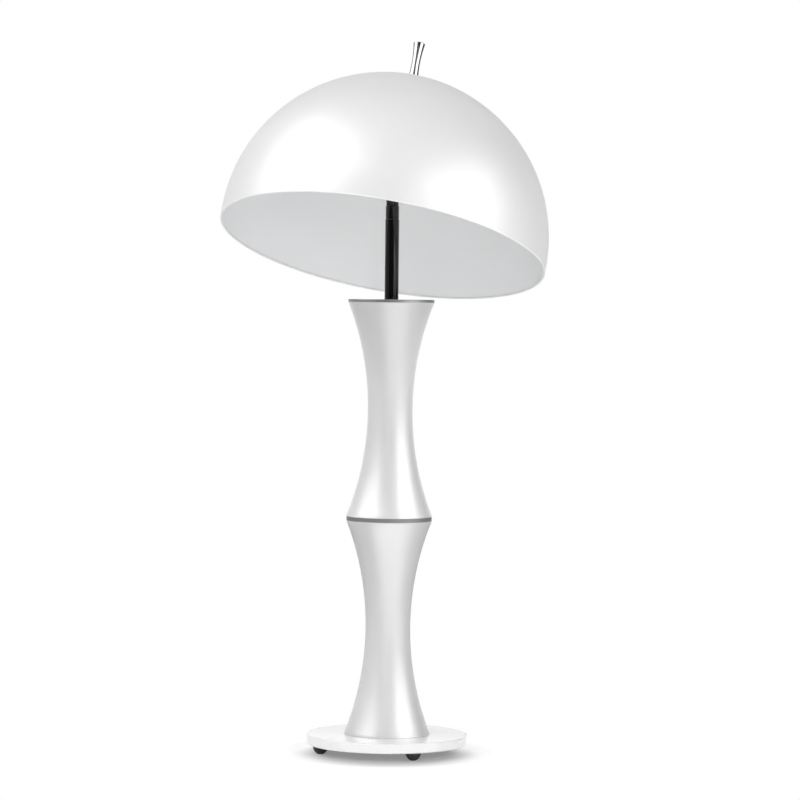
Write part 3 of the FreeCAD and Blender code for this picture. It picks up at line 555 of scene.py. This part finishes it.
# finishes of the nodes that keep their solid
nodeFinishes = {
    "base_lacquer": ("glossLacquer", "lacquer", False,
                     {"light": grey(0.77), "deep": grey(0.757), "gloss": (0.1, 0.15), "scale": 800,
                      "bump": (0.04, 0.0003), "shader": {"Coat Weight": 0.5, "Coat Roughness": 0.05}}),
    "foot_rubber": ("blackRubber", "moulded", False,
                    {"light": grey(0.022), "deep": grey(0.015), "gloss": (0.42, 0.6), "scale": 2600,
                     "bump": (0.25, 0.0002), "shader": {"Specular IOR Level": 0.45}}),
    "satin_metal": ("satinNickel", "turned", False,
                    {"light": grey(0.38), "deep": grey(0.34), "gloss": (0.58, 0.68), "scale": 2400,
                     "bump": (0.12, 0.0001), "shader": {"Metallic": 1.0}}),
    "polished_plate": ("polishedNickel", "turned", False,
                       {"light": grey(0.42, 0.01), "deep": grey(0.38, 0.01), "gloss": (0.42, 0.5),
                        "scale": 2600, "bump": (0.06, 0.0001), "shader": {"Metallic": 1.0}}),
    "dark_polish": ("blackNickel", "turned", False,
                    {"light": grey(0.060), "deep": grey(0.048), "gloss": (0.1, 0.17), "scale": 2200,
                     "bump": (0.06, 0.0001), "shader": {"Metallic": 1.0}}),
    "finial_polish": ("brightChrome", "turned", True,
                      {"light": grey(0.42), "deep": grey(0.37), "gloss": (0.015, 0.03), "scale": 2600,
                       "bump": (0.03, 0.0001), "shader": {"Metallic": 1.0}}),
    "black_nylon": ("blackNylon", "moulded", False,
                    {"light": grey(0.03), "deep": grey(0.022), "gloss": (0.4, 0.55), "scale": 2200,
                     "bump": (0.15, 0.0002)}),
    "clear_nylon": ("paleNylon", "moulded", True,
                    {"light": grey(0.80, 0.01), "deep": grey(0.74, 0.015), "gloss": (0.3, 0.45), "scale": 2200,
                     "bump": (0.1, 0.0002), "shader": {"Subsurface Weight": 0.15}}),
    "zinc_steel": ("zincPlate", "turned", True,
                   {"light": grey(0.58), "deep": (0.52, 0.53, 0.56, 1), "gloss": (0.26, 0.42), "scale": 1800,
                    "bump": (0.1, 0.0001), "shader": {"Metallic": 1.0}}),
    "centring_plastic": ("whiteAcetal", "moulded", False,
                         {"light": grey(0.78), "deep": grey(0.74), "gloss": (0.35, 0.5), "scale": 1800,
                          "bump": (0.1, 0.0002)}),
    "cluster_casting": ("whiteCasting", "lacquer", True,
                        {"light": grey(0.80), "deep": grey(0.76), "gloss": (0.36, 0.48), "scale": 1100,
                         "bump": (0.16, 0.0003)}),
    "brass_thread": ("plainBrass", "turned", True,
                     {"light": (0.70, 0.50, 0.22, 1), "deep": (0.62, 0.43, 0.18, 1), "gloss": (0.25, 0.38),
                      "scale": 1700, "bump": (0.12, 0.0001), "shader": {"Metallic": 1.0}}),
    "socket_moulding": ("ivoryMoulding", "moulded", True,
                        {"light": grey(0.76, 0.02), "deep": grey(0.71, 0.03), "gloss": (0.28, 0.42),
                         "scale": 1600, "bump": (0.12, 0.0002)}),
    "bulb_base": ("bulbCap", "turned", True,
                  {"light": grey(0.62), "deep": grey(0.55), "gloss": (0.25, 0.38), "scale": 1500,
                   "bump": (0.15, 0.0001), "shader": {"Metallic": 1.0}}),
    "opal_glass": ("opalGlass", "lacquer", True,
                   {"light": grey(0.84, 0.006), "deep": grey(0.81, 0.01), "gloss": (0.12, 0.2), "scale": 300,
                    "bump": (0.02, 0.0003), "shader": {"Coat Weight": 0.4, "Coat Roughness": 0.04}}),
    "switch_moulding": ("blackMoulding", "moulded", True,
                        {"light": grey(0.035), "deep": grey(0.025), "gloss": (0.3, 0.45), "scale": 2000,
                         "bump": (0.15, 0.0002)}),
}

slotOf = {part["node"]: part["material_slot"] for part in frame["record"]["subparts"]}
slotPaint = {}
for slotName, (name, effect, onShade, look) in nodeFinishes.items():
    slotPaint[slotName] = finish(name, effect, look, onShade)
for nodeName, solid in frame["nodes"].items():
    paint = slotPaint.get(slotOf[nodeName])
    if paint:
        for place in solid.material_slots:
            place.material = paint
print("finishes given to", len(slotPaint), "slots")
